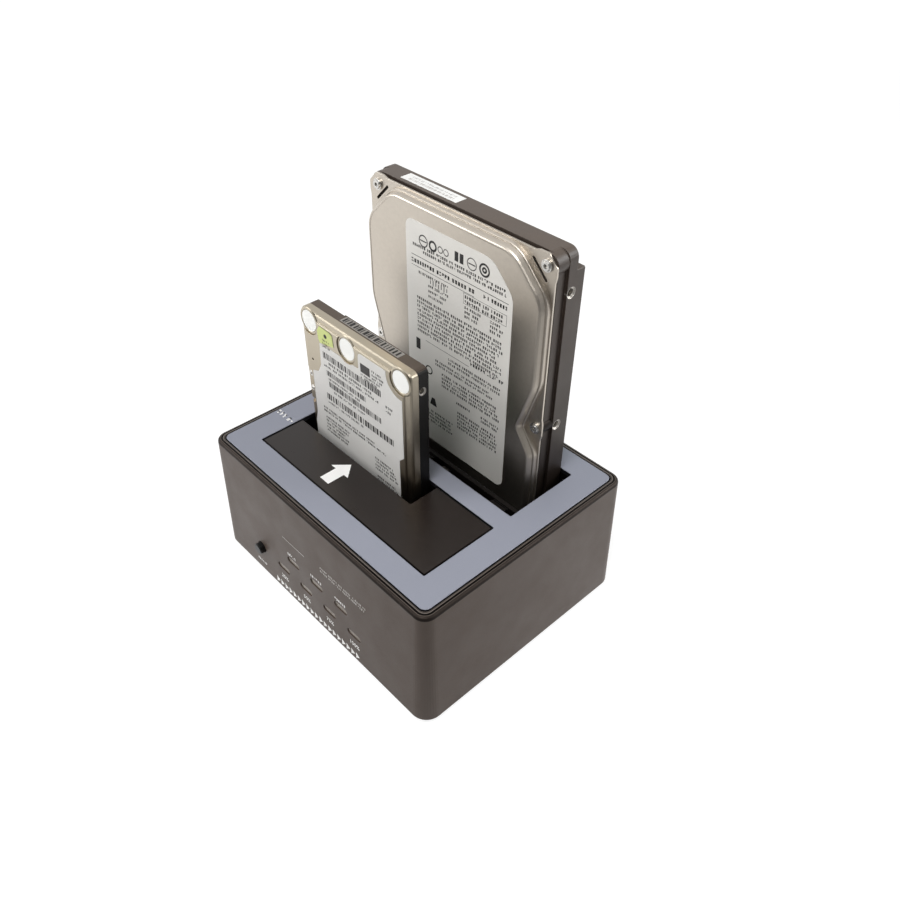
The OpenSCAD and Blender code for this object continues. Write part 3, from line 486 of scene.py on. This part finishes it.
FINISHES = {
    housing: ["outer_shell", "base_plate"],
    panel: ["top_panel"],
    bead: ["trim_ring"],
    bay: ["bay_frame"],
    flap: ["rear_flap"],
    closed_flap: ["front_flap"],
    control: ["start_button", "power_rocker", "rocker_housing"],
    connector: ["front_socket", "rear_socket", "button_switch", "power_jack", "usb_tongue", "large_plug", "small_plug"],
    chip: ["bridge_chip"],
    rubber: ["foot_front_left", "foot_front_right", "foot_rear_left", "foot_rear_right"],
    lens: ["status_lens_1", "status_lens_2", "status_lens_3",
           "progress_lens_25", "progress_lens_50", "progress_lens_75", "progress_lens_100"],
    led: ["indicator_leds"],
    steel: ["base_screws", "frame_screws", "board_screws", "switch_plunger",
            "large_cover_screws", "large_board_screws", "small_cover_screws"],
    spring: ["front_flap_spring", "rear_flap_spring", "front_flap_pin", "rear_flap_pin"],
    can: ["capacitors"],
    shield: ["usb_port"],
    board: ["main_board", "indicator_board", "large_board", "small_board"],
    large_cast: ["large_casting"],
    small_cast: ["small_casting"],
    large_metal: ["large_cover"],
    small_metal: ["small_cover"],
    motor: ["large_motor"],
    grey_label: ["large_label"],
    white_label: ["small_label"],
    end_label: ["large_end_label"],
    silver_label: ["small_end_label"],
    foil: ["small_seals"],
}
for material, names in FINISHES.items():
    for name in names:
        for slot in frame["nodes"][name].material_slots:
            slot.material = material


# ================= Making pieces =================

def new_piece(name, mesh, material, body, solid=False):
    """A piece from a bmesh, riding on a body. A solid one has its faces turned outwards first."""
    if solid:
        bmesh.ops.recalc_face_normals(mesh, faces=mesh.faces)
    data = bpy.data.meshes.new(name)
    mesh.to_mesh(data)
    mesh.free()
    data.materials.append(material)
    piece = bpy.data.objects.new(name, data)
    scene.collection.objects.link(piece)
    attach(piece, body)
    return piece


def circle(radius, sides):
    turns = (2 * math.pi * k / sides for k in range(sides))
    return [(radius * math.cos(turn), radius * math.sin(turn)) for turn in turns]


def rounded_outline(corners, radii):
    """The corners of an outline, run anticlockwise, with each rounded off to its radius."""
    points, steps = [], 8
    for i, (x, y) in enumerate(corners):
        corner = Vector((x, y))
        back = (Vector(corners[i - 1]) - corner).normalized()
        on = (Vector(corners[(i + 1) % len(corners)]) - corner).normalized()
        half = back.angle(on) / 2
        middle = corner + (back + on).normalized() * (radii[i] / math.sin(half))
        first = corner + back * (radii[i] / math.tan(half)) - middle
        turn = math.pi - 2 * half
        for k in range(steps + 1):
            points.append(middle + Matrix.Rotation(turn * k / steps, 2) @ first)
    return points


def plate(mesh, outline, place, depths):
    """A flat plate between two depths. place(u, v, depth) gives a point of the part."""
    back, front = ([mesh.verts.new(place(p.x, p.y, depth)) for p in outline] for depth in depths)
    mesh.faces.new(back)
    mesh.faces.new(front[::-1])
    for k in range(len(outline)):
        mesh.faces.new((back[k], back[k - 1], front[k - 1], front[k]))


class Print:
    """Flat patches of ink on a surface. place(u, v) gives a point of the surface for two lengths in millimetres."""

    CHANCE = {"upright": 0.75, "short": 0.25, "level": 0.5}   # of each stroke, and of an upright being short
    GROUP = (2, 9)                           # fewest and most glyphs between wider gaps
    WIDTH = (0.45, 0.7)                      # of a glyph, as a share of its height
    GAP, WIDE_GAP = 0.35, 0.6                # after a glyph and after a group, as such a share
    BARS, SPACES = (1, 1, 2, 3), (1, 1, 2)   # widths to pick from in a barcode
    SIDES = 28                               # of a disc or hoop
    FIGURE_HEIGHT = 0.7                      # of a number, as a share of its font's size
    FIGURE_WEIGHT = 0.04                     # how far a number's strokes are thickened

    def __init__(self, name, place, flip=False, seed=1):
        self.name, self.place, self.flip = name, place, flip
        self.mesh = bmesh.new()
        self.random = random.Random(seed)

    def face(self, corners):
        self.mesh.faces.new(corners[::-1] if self.flip else corners)

    def patch(self, *points):
        self.face([self.mesh.verts.new(self.place(u, v)) for u, v in points])

    def bar(self, u0, v0, u1, v1):
        """A rectangle, from its lower left corner to its upper right one."""
        self.patch((u0, v0), (u1, v0), (u1, v1), (u0, v1))

    def glyph(self, u, v, w, h, pen):
        """A few upright and level strokes in a box, which spell nothing."""
        pick = self.random.random
        for at in (0, w - pen):
            if pick() < self.CHANCE["upright"]:
                foot = h / 2 - pen / 2 if pick() < self.CHANCE["short"] else 0
                self.bar(u + at, v + foot, u + at + pen, v + h)
        for at in (0, h / 2 - pen / 2, h - pen):
            if pick() < self.CHANCE["level"]:
                self.bar(u, v + at, u + w, v + at + pen)

    def row(self, u0, u1, v, h, pen):
        """A line of such glyphs in groups, from u0 to at most u1, standing on v."""
        u = u0
        while u < u1 - h:
            for _ in range(self.random.randint(*self.GROUP)):
                w = h * self.random.uniform(*self.WIDTH)
                if u + w > u1:
                    break
                self.glyph(u, v, w, h, pen)
                u += w + self.GAP * h
            u += self.WIDE_GAP * h

    def block(self, u0, u1, top, rows, h, pitch, ragged, pen):
        """Rows under each other, each cut short by up to the share that ragged gives."""
        for i in range(rows):
            end = u1 - (u1 - u0) * self.random.uniform(0, ragged)
            self.row(u0, end, top - h - i * pitch, h, pen)

    def barcode(self, u0, u1, v0, v1, module):
        u = u0
        while u < u1:
            w = module * self.random.choice(self.BARS)
            self.bar(u, v0, min(u + w, u1), v1)
            u += w + module * self.random.choice(self.SPACES)

    def disc(self, u, v, radius):
        self.patch(*((u + x, v + y) for x, y in circle(radius, self.SIDES)))

    def hoop(self, u, v, radius, hole):
        """A ring with a round hole."""
        inner, outer = ([(u + x, v + y) for x, y in circle(size, self.SIDES)] for size in (hole, radius))
        for k in range(self.SIDES):
            n = (k + 1) % self.SIDES
            self.patch(inner[k], outer[k], outer[n], inner[n])

    def number(self, text, u, v, height):
        """A plain number, centred on u and standing on v."""
        curve = bpy.data.curves.new("number", "FONT")
        curve.body, curve.align_x, curve.resolution_u = text, "CENTER", 3
        curve.size, curve.offset = height / self.FIGURE_HEIGHT, self.FIGURE_WEIGHT
        writer = bpy.data.objects.new("number", curve)
        mesh = writer.to_mesh()
        verts = [self.mesh.verts.new(self.place(u + p.co.x, v + p.co.y)) for p in mesh.vertices]
        for polygon in mesh.polygons:
            self.face([verts[i] for i in polygon.vertices])
        writer.to_mesh_clear()
        bpy.data.objects.remove(writer)
        bpy.data.curves.remove(curve)

    def lay(self, material, body):
        new_piece(self.name, self.mesh, material, body)


# ================= Printing and other pieces on the dock =================

INK_LIFT = 0.03

shell_mesh = frame["nodes"]["outer_shell"].data
shell = BVHTree.FromPolygons([v.co[:] for v in shell_mesh.vertices], [p.vertices[:] for p in shell_mesh.polygons])


def on_front(x, z):
    """The front wall's surface at x across and z up."""
    in_front = -200 * MM
    hit = shell.ray_cast(Vector((x * MM, in_front, z * MM)), Vector((0, 1, 0)))[0]
    return hit - Vector((0, INK_LIFT * MM, 0))


def on_top(node):
    """Gives places on the top of a node."""
    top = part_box(node)[1].z + INK_LIFT * MM
    return lambda x, y: Vector((x * MM, y * MM, top))


def front_print():
    """Shares under the lower windows, captions, a row of triangles, a rule and two rows of small print."""
    ink = Print("front_print", on_front, seed=3)
    drop, figure = 7.0, 2.2
    for share in ("25", "50", "75", "100"):
        window = centre("progress_lens_" + share) / MM
        ink.number(share + "%", window.x, window.z - drop, figure)
    left, right, rise = 3.8, 4.0, 2.9
    for i in (1, 2, 3):
        window = centre("status_lens_%d" % i) / MM
        ink.row(window.x - left, window.x + right, window.z + rise, 1.4, 0.36)
    button = centre("start_button") / MM
    left, right, foot = 4.8, 2.2, 6.5
    ink.row(button.x - left, button.x + right, foot, 1.3, 0.34)
    count, first, pitch, width, foot, height = 19, -29.8, 3.24, 2.6, 3.2, 3.6
    for i in range(count):
        x = first + i * pitch
        ink.patch((x, foot), (x + width, foot + height / 2), (x, foot + height))
    ink.lay(white_ink, "base")
    thin = Print("front_fine_print", on_front, seed=4)
    thin.bar(-20.9, 38.1, -4.8, 38.4)
    for end, foot in ((38, 40.2), (36, 38.4)):
        thin.row(6.6, end, foot, 1.1, 0.3)
    thin.lay(grey_ink, "base")


def panel_print():
    """The two short rows on the top panel that mark its bays."""
    ink = Print("panel_print", on_top("top_panel"), seed=6)
    for foot in (-25.8, 20.4):
        ink.row(-66.2, -53.2, foot, 2.4, 0.7)
    ink.lay(white_ink, "base")


def flap_print():
    """The arrow that points to the cut-out for a small drive."""
    ink = Print("flap_arrow", on_top("front_flap"))
    ink.bar(-16.7, -37.4, -11.0, -29.2)
    ink.patch((-19.7, -29.2), (-8.35, -29.2), (-14.0, -22.9))
    ink.lay(white_ink, "front_flap")


def window_faces():
    """The windows' faces, nearer to the wall's surface than the CAD light bars end, as the photograph has them."""
    half, radius, rise, gap = 4.3, 1.499, 0.65, 0.01
    corners = [(-half, -radius), (half, -radius), (half, radius), (-half, radius)]
    outline = rounded_outline(corners, [radius] * 4)
    mesh = bmesh.new()
    for name in FINISHES[lens]:
        middle, bar_end = centre(name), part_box(name)[0].y
        plate(mesh, outline, lambda x, z, y: (middle.x + x * MM, bar_end - y * MM, middle.z + z * MM), (rise, gap))
    new_piece("window_faces", mesh, lens, "base", solid=True)


def winding_spring(flap_body):
    """A copy of a flap's torsion spring in spring steel, standing where the CAD one stood, which it hides."""
    node, straight = flap_body + "_spring", 0.5 * MM
    data = frame["nodes"][node].data.copy()
    data.materials.clear()
    data.materials.append(spring)
    piece = bpy.data.objects.new(flap_body + "_wound_spring", data)
    scene.collection.objects.link(piece)
    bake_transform(piece)
    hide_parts(node)


# ================= Labels and seals on the drives =================
# Tables give u, a length across the drive, and v, a length up it. Marks are plain and strokes spell nothing.

# u and v of each corner, and its radius
LARGE_LABEL = [(26.8, 33, 4), (86, 33, 4), (86, 126, 8), (75, 137.6, 10), (26.8, 137.6, 4)]
# u, v, radius, hole
LARGE_HOOPS = [(37.2, 130.4, 2.6, 2.1), (42.7, 130.3, 2.3, 1.4), (71.0, 131.4, 2.8, 2.0), (71.0, 131.4, 1.3, 0.5),
    (39.9, 71.0, 2.2, 1.6)]
LARGE_FINE_HOOPS = [(64.3, 131.2, 2.6, 2.2), (47.0, 130.4, 1.5, 1.1), (50.2, 130.4, 1.5, 1.1)]
# u and v of two corners
LARGE_BARS = [(35.3, 130.15, 39.1, 130.65), (55.0, 129.2, 57.0, 133.2), (57.8, 129.2, 59.8, 133.2),
    (30, 122.6, 84, 122.85), (30, 118.0, 66, 118.2), (31.9, 78.8, 34.5, 84.2)]
LARGE_FINE_BARS = [(62.4, 130.9, 66.2, 131.4), (38, 85.0, 64, 85.2), (60.2, 117.6, 83.4, 117.75),
    (60.2, 112.9, 83.4, 113.05), (60.2, 112.9, 60.35, 117.75), (83.25, 112.9, 83.4, 117.75)]
# u from and to, v of the foot, height, pen
LARGE_ROWS = [(30, 66, 119.4, 1.7, 0.5), (71, 84, 119.8, 1.6, 0.5), (65, 84, 86.2, 1.5, 0.45)]
# u from and to, v of the top, rows, height, pitch, raggedness, pen
LARGE_BLOCKS = [
    (31, 83, 128.0, 1, 1.2, 1.9, 0.0, 0.36),
    (37, 83, 126.2, 1, 1.2, 1.9, 0.0, 0.36),
    (33, 52, 116.6, 1, 1.2, 1.9, 0.0, 0.34),
    (40, 54, 112.6, 3, 1.1, 2.3, 0.4, 0.34),
    (61, 83, 116.9, 2, 1.4, 2.2, 0.05, 0.42),
    (61, 71, 112.0, 3, 1.2, 2.0, 0.3, 0.36),
    (75, 83, 112.0, 3, 1.2, 2.0, 0.3, 0.36),
    (33, 83, 104.8, 9, 1.25, 1.95, 0.05, 0.38),
    (52, 83, 83.2, 2, 1.2, 1.9, 0.04, 0.36),
    (44, 83, 78.6, 2, 1.1, 1.8, 0.2, 0.32),
    (48, 83, 73.4, 4, 1.2, 1.9, 0.06, 0.38),
    (57, 68, 63.4, 1, 1.2, 2.1, 0.1, 0.4),
    (72, 83, 64.0, 2, 1.2, 1.8, 0.1, 0.36),
    (58, 83, 58.6, 5, 1.2, 1.9, 0.05, 0.38),
    (38, 56, 50.0, 4, 1.1, 1.85, 0.1, 0.34),
]
SMALL_BLOCKS = [
    (18, 50, 80.6, 1, 1.3, 1.8, 0.1, 0.34),
    (14.5, 52, 78.4, 1, 1.1, 1.8, 0.1, 0.3),
    (17, 40, 72.3, 1, 1.1, 1.8, 0.1, 0.3),
    (20, 42, 66.6, 1, 1.1, 1.8, 0.1, 0.3),
    (15, 42, 59.2, 1, 1.1, 1.8, 0.1, 0.3),
    (11, 56, 54.4, 2, 1.1, 1.8, 0.3, 0.34),
    (12, 30, 49.4, 5, 1.1, 1.9, 0.3, 0.34),
    (46, 61.5, 46.8, 4, 1.1, 1.9, 0.2, 0.34),
    (47, 61.5, 37, 4, 1.1, 1.9, 0.2, 0.34),
    (47.2, 54.5, 91.8, 3, 1.0, 1.7, 0.2, 0.28),
    (40, 53, 86.9, 2, 0.9, 1.4, 0.2, 0.26),
    (55, 60.5, 79, 2, 1.2, 2.2, 0.3, 0.34),
]
# u from and to, v from and to, narrowest bar
SMALL_BARCODES = [(14.5, 52.5, 81.4, 84.6, 0.34), (16, 42, 73.2, 75.8, 0.3), (17, 52, 67.6, 70.4, 0.3),
    (14.5, 59, 60.2, 63.4, 0.42)]
# u and v of each seal's middle, and of the sticker's corners
SMALL_SEALS = [(5.8, 95), (31, 93.2), (64.2, 95)]
STICKER = [(13.1, 88.1), (22.6, 90.0), (22.1, 95.4), (20.4, 96.2), (13.5, 96.2), (11.8, 93.6), (12.2, 89.4)]


def large_paper():
    """The large drive's label, laid where the photograph has it, in place of the CAD one."""
    mesh = bmesh.new()
    outline = rounded_outline([(u, v) for u, v, _ in LARGE_LABEL], [radius for _, _, radius in LARGE_LABEL])
    plate(mesh, outline, LARGE.place, (LARGE.label_back, LARGE.label_face))
    piece = new_piece("large_label_sheet", mesh, grey_label, "large_drive", solid=True)
    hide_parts("large_label")


def large_print():
    """Generic rows, rules and marks on the large drive's label, and a barcode on its end."""
    ink = Print("large_label_print", LARGE.on_label(INK_LIFT), seed=11)
    for hoop in LARGE_HOOPS:
        ink.hoop(*hoop)
    for bar in LARGE_BARS:
        ink.bar(*bar)
    for row in LARGE_ROWS:
        ink.row(*row)
    ink.patch((40.4, 53.2), (44.8, 53.2), (43.6, 57.2), (41.6, 57.2))
    ink.lay(black_ink, "large_drive")
    fine = Print("large_label_small_print", LARGE.on_label(INK_LIFT), seed=12)
    for hoop in LARGE_FINE_HOOPS:
        fine.hoop(*hoop)
    for bar in LARGE_FINE_BARS:
        fine.bar(*bar)
    for block in LARGE_BLOCKS:
        fine.block(*block)
    for i in range(7):
        u, foot, top = 41 + i * 1.6, 113.4 - 0.5 * (i % 2), 115.0 + 0.5 * (i % 3)
        fine.bar(u, foot, u + 0.4, top)
    fine.lay(soft_ink, "large_drive")
    end = Print("large_end_barcode", LARGE.on_end("large_end_label", 0.5 * INK_LIFT), flip=True, seed=13)
    end.barcode(18.5, 44, 9.2, 10.6, 0.35)
    end.row(18.5, 44, 7.4, 1.0, 0.2)
    end.lay(grey_ink, "large_drive")


def small_print():
    """Barcodes and generic rows on the small drive's label, and a barcode on its end."""
    ink = Print("small_label_barcodes", SMALL.on_label(INK_LIFT), seed=21)
    for barcode in SMALL_BARCODES:
        ink.barcode(*barcode)
    ink.bar(40, 87.6, 46, 91.8)
    ink.lay(soft_ink, "small_drive")
    fine = Print("small_label_small_print", SMALL.on_label(INK_LIFT), seed=22)
    for block in SMALL_BLOCKS:
        fine.block(*block)
    fine.lay(soft_ink, "small_drive")
    end = Print("small_end_barcode", SMALL.on_end("small_end_label", INK_LIFT), flip=True, seed=23)
    end.barcode(22, 56.5, 1.0, 3.9, 0.5)
    end.lay(black_ink, "small_drive")


def small_sticker():
    """Yellow-green sticker between the left and the middle seal."""
    lift = 0.05
    spot = Print("sticker", SMALL.on_label(lift))
    spot.patch(*STICKER)
    spot.lay(sticker, "small_drive")
    ink = Print("sticker_print", SMALL.on_label(lift + INK_LIFT), seed=24)
    ink.disc(17.4, 93.0, 1.0)
    ink.block(15, 21, 91.0, 3, 0.9, 1.5, 0.2, 0.18)
    ink.lay(black_ink, "small_drive")


def seal_rings():
    """Pressed rings in the cover round the three seals."""
    profile = [(4.8, 0.0), (4.9, 0.16), (5.2, 0.28), (5.6, 0.28), (5.95, 0.16), (6.15, 0.0)]   # radius and rise
    foot, sides = SMALL.label_face - 0.75, 48
    mesh = bmesh.new()
    for u, v in SMALL_SEALS:
        rings = [[mesh.verts.new(SMALL.place(u + x, v + y, foot + rise)) for x, y in circle(radius, sides)]
                 for radius, rise in profile]
        for inner, outer in zip(rings, rings[1:]):
            for k in range(sides):
                n = (k + 1) % sides
                mesh.faces.new((inner[k], inner[n], outer[n], outer[k])).smooth = True
    new_piece("seal_rings", mesh, small_metal, "small_drive", solid=True)


winding_spring("front_flap")
winding_spring("rear_flap")
front_print()
panel_print()
flap_print()
window_faces()
large_paper()
large_print()
small_print()
small_sticker()
seal_rings()


# ================= Floor, light and camera =================

DIM_SIDE = (0.71, -0.7, 0)                 # towards the front right, where the studio is darker
SKY_LEVEL = 0.3                            # the world's light on what doesn't mirror it
# Each is a near and a far place, and the brightness at them:
SKY_FADE = (-0.1, 0.8, 1.0, 0.2)           # along DIM_SIDE
MIRRORED_FLOOR = (0.02, 0.14, 1.0, 0.1)    # along DIM_SIDE, as gloss and metal see the floor
SEEN_FLOOR = (0.35, 1.2, 0.8, 0.97)        # from the middle outwards, as the camera sees the floor

CAMERA_PLACE = Vector((214.36, -180.377, 306.19))
CAMERA_TURN = (46.659, -40.481, 0.577)     # yaw, pitch and roll in degrees
CAMERA_FOCUS = 855.54 / 900                # focal length as a share of the picture's width


def floor():
    """Pale floor that the camera sees as white apart from the object's shadow."""
    bpy.ops.mesh.primitive_plane_add(size=6)
    plane = bpy.context.object
    plane.name = "floor"
    r = Recipe("floor_white", specular=0.1)
    seen = r.add("LightPath").outputs
    mirrored = r.maths("MAXIMUM", seen["Is Glossy Ray"], seen["Is Transmission Ray"])
    direct = r.maths("MAXIMUM", seen["Is Camera Ray"], mirrored)
    tone = r.shade(grey(0.8), r.noise(300, 2), 0.005)
    r.join(r.mix(direct, tone, grey(0.3)), r.shader.inputs["Base Color"])
    r.join(1.0, r.shader.inputs["Roughness"])
    r.join(grey(1), r.shader.inputs["Emission Color"])
    dim = r.between(r.vector("DOT_PRODUCT", r.place, DIM_SIDE, output="Value"), *MIRRORED_FLOOR)
    shown = r.between(r.vector("LENGTH", r.place, output="Value"), *SEEN_FLOOR)
    glow = r.maths("MULTIPLY", direct, r.blend(mirrored, shown, dim))
    r.join(glow, r.shader.inputs["Emission Strength"])
    plane.data.materials.append(r.material)


def world():
    """White to the camera and a plain level of light for the rest, dimmer from the front right."""
    sky = bpy.data.worlds.new("studio")
    scene.world = sky
    sky.use_nodes = True
    nodes = Nodes(sky.node_tree)
    seen = nodes.add("LightPath").outputs
    way = nodes.add("TexCoord").outputs["Generated"]
    side = nodes.between(nodes.vector("DOT_PRODUCT", way, DIM_SIDE, output="Value"), *SKY_FADE)
    mirrored = nodes.maths("MAXIMUM", seen["Is Glossy Ray"], seen["Is Transmission Ray"])
    lit = nodes.maths("MULTIPLY", nodes.between(mirrored, 0.0, 1.0, SKY_LEVEL, 1.0), side)
    back = nodes.tree.nodes["Background"]
    nodes.join(grey(1), back.inputs["Color"])
    nodes.join(nodes.blend(seen["Is Camera Ray"], lit, 1.0), back.inputs["Strength"])


def lamp(name, place, target, size, power):
    """A square soft light that points at target."""
    data = bpy.data.lights.new(name, "AREA")
    data.shape, data.size, data.energy = "SQUARE", size, power
    light = bpy.data.objects.new(name, data)
    light.location = place
    light.rotation_euler = (Vector(target) - Vector(place)).to_track_quat("-Z", "Y").to_euler()
    scene.collection.objects.link(light)


def camera():
    """The photograph's viewpoint."""
    yaw, pitch, roll = (math.radians(v) for v in CAMERA_TURN)
    ahead = Vector((-math.sin(yaw) * math.cos(pitch), math.cos(yaw) * math.cos(pitch), math.sin(pitch)))
    level = Vector((math.cos(yaw), math.sin(yaw), 0))
    upright = level.cross(ahead)
    right = level * math.cos(roll) + upright * math.sin(roll)
    up = upright * math.cos(roll) - level * math.sin(roll)
    data = bpy.data.cameras.new("camera")
    data.sensor_width = 36
    data.lens = CAMERA_FOCUS * data.sensor_width
    data.clip_start = 0.01
    eye = bpy.data.objects.new("camera", data)
    turn = Matrix((right, up, -ahead)).transposed().to_4x4()
    eye.matrix_world = Matrix.Translation(CAMERA_PLACE * MM) @ turn
    scene.collection.objects.link(eye)
    scene.camera = eye


floor()
world()
lamp("key_left", (-0.42, -0.34, 0.34), (-0.03, -0.05, 0.04), size=0.3, power=1.5)
lamp("fill_right", (0.38, 0.46, 0.36), (0.06, 0.03, 0.05), size=0.3, power=2.6)
lamp("front_high", (0.15, -0.42, 0.85), (0, 0, 0.08), size=0.4, power=4.5)
camera()
scene.view_settings.view_transform = "Standard"

bpy.context.view_layer.update()
